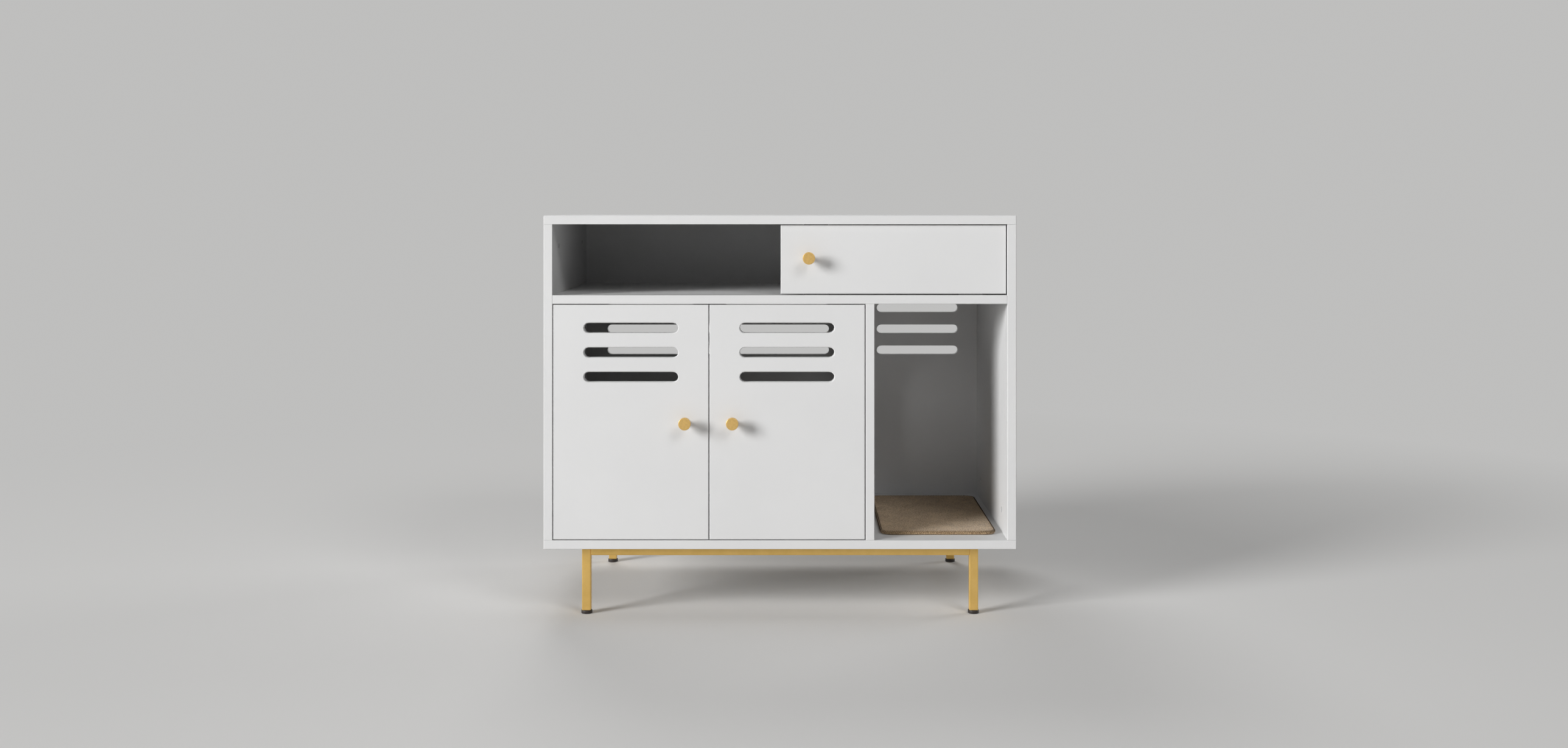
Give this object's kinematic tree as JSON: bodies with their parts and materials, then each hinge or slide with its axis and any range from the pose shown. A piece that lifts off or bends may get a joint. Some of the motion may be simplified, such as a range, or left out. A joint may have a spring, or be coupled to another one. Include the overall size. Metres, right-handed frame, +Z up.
{
  "type": "litter box enclosure",
  "caption": "White board cabinet that hides a litter tray behind slotted doors, with an open entry niche, a sliding-door shelf above and a gold square-tube base.",
  "frame": {"origin": "middle of the footprint, on the floor", "axes": "+X to the cabinet's right seen from the front, +Y to its rear, +Z up"},
  "size_m": [0.8, 0.476, 0.68],
  "materials": {
    "white_board": "white melamine-faced particle board, satin",
    "gold_paint": "gold powder coat, satin",
    "gold_knob": "gold anodised, satin",
    "zinc_steel": "zinc plated",
    "hinge_nickel": "nickel plated",
    "dark_plastic": "moulded, matt",
    "cam_zinc": "die-cast zinc alloy",
    "dowel_wood": "beech",
    "track_plastic": "extruded, matt",
    "glide_plastic": "moulded acetal, black",
    "white_plastic": "moulded",
    "magnet_steel": "ferrite",
    "mat_board": "brown woven scratch mat"
  },
  "bodies": {
    "cabinet": {"back_panel": "white_board", "base_screws": "zinc_steel", "bottom_panel": "white_board", "cam_bolts": "zinc_steel", "cam_locks": "cam_zinc", "catch_magnets": "magnet_steel", "catch_screw": "zinc_steel", "divider_panel": "white_board", "dowels": "dowel_wood", "front_rail": "gold_paint", "hinge_arm_screws": "zinc_steel", "hinge_plate_screws": "zinc_steel", "left_hinge_arms": "hinge_nickel", "left_hinge_plates": "hinge_nickel", "left_leg_frame": "gold_paint", "left_side_panel": "white_board", "leg_plugs": "dark_plastic", "lower_track": "track_plastic", "magnet_catch": "white_plastic", "rail_bolts": "zinc_steel", "rail_inserts": "zinc_steel", "rear_rail": "gold_paint", "right_hinge_arms": "hinge_nickel", "right_hinge_plates": "hinge_nickel", "right_leg_frame": "gold_paint", "right_side_panel": "white_board", "shelf_panel": "white_board", "top_panel": "white_board", "upper_track": "track_plastic"},
    "sliding_door": {"sliding_door": "white_board", "sliding_door_glides": "glide_plastic", "sliding_door_guides": "glide_plastic", "sliding_door_knob": "gold_knob", "sliding_door_knob_screw": "zinc_steel"},
    "left_door": {"left_door": "white_board", "left_door_knob": "gold_knob", "left_door_knob_screw": "zinc_steel", "left_strike_plate": "zinc_steel", "left_hinge_cups": "hinge_nickel", "left_hinge_pins": "zinc_steel", "left_hinge_cup_screws": "zinc_steel"},
    "right_door": {"right_door": "white_board", "right_door_knob": "gold_knob", "right_door_knob_screw": "zinc_steel", "right_strike_plate": "zinc_steel", "right_hinge_cups": "hinge_nickel", "right_hinge_pins": "zinc_steel", "right_hinge_cup_screws": "zinc_steel"},
    "mat": {"scratch_mat": "mat_board"},
    "front_left_foot": {"front_left_foot": "dark_plastic"},
    "front_right_foot": {"front_right_foot": "dark_plastic"},
    "rear_left_foot": {"rear_left_foot": "dark_plastic"},
    "rear_right_foot": {"rear_right_foot": "dark_plastic"}
  },
  "joints": [
    {"name": "sliding_door_slide", "type": "slide", "parent": "cabinet", "child": "sliding_door", "axis": [-1, 0, 0], "range_m": [0, 0.384]},
    {"name": "left_door_hinge", "type": "hinge", "parent": "cabinet", "child": "left_door", "pos_m": [-0.3675, -0.2052, 0.33], "axis": [0, 0, -1], "range_deg": [0, 95]},
    {"name": "right_door_hinge", "type": "hinge", "parent": "cabinet", "child": "right_door", "pos_m": [0.1275, -0.2052, 0.33], "axis": [0, 0, 1], "range_deg": [0, 95]},
    {"name": "mat_pull", "type": "slide", "parent": "cabinet", "child": "mat", "axis": [0, -1, 0], "range_m": [0, 0.34]},
    {"name": "front_left_foot_turn", "type": "hinge", "parent": "cabinet", "child": "front_left_foot", "pos_m": [-0.3305, -0.1825, 0.01], "axis": [0, 0, 1], "continuous": true},
    {"name": "front_right_foot_turn", "type": "hinge", "parent": "cabinet", "child": "front_right_foot", "pos_m": [0.3305, -0.1825, 0.01], "axis": [0, 0, 1], "continuous": true},
    {"name": "rear_left_foot_turn", "type": "hinge", "parent": "cabinet", "child": "rear_left_foot", "pos_m": [-0.3305, 0.2085, 0.01], "axis": [0, 0, 1], "continuous": true},
    {"name": "rear_right_foot_turn", "type": "hinge", "parent": "cabinet", "child": "rear_right_foot", "pos_m": [0.3305, 0.2085, 0.01], "axis": [0, 0, 1], "continuous": true}
  ]
}
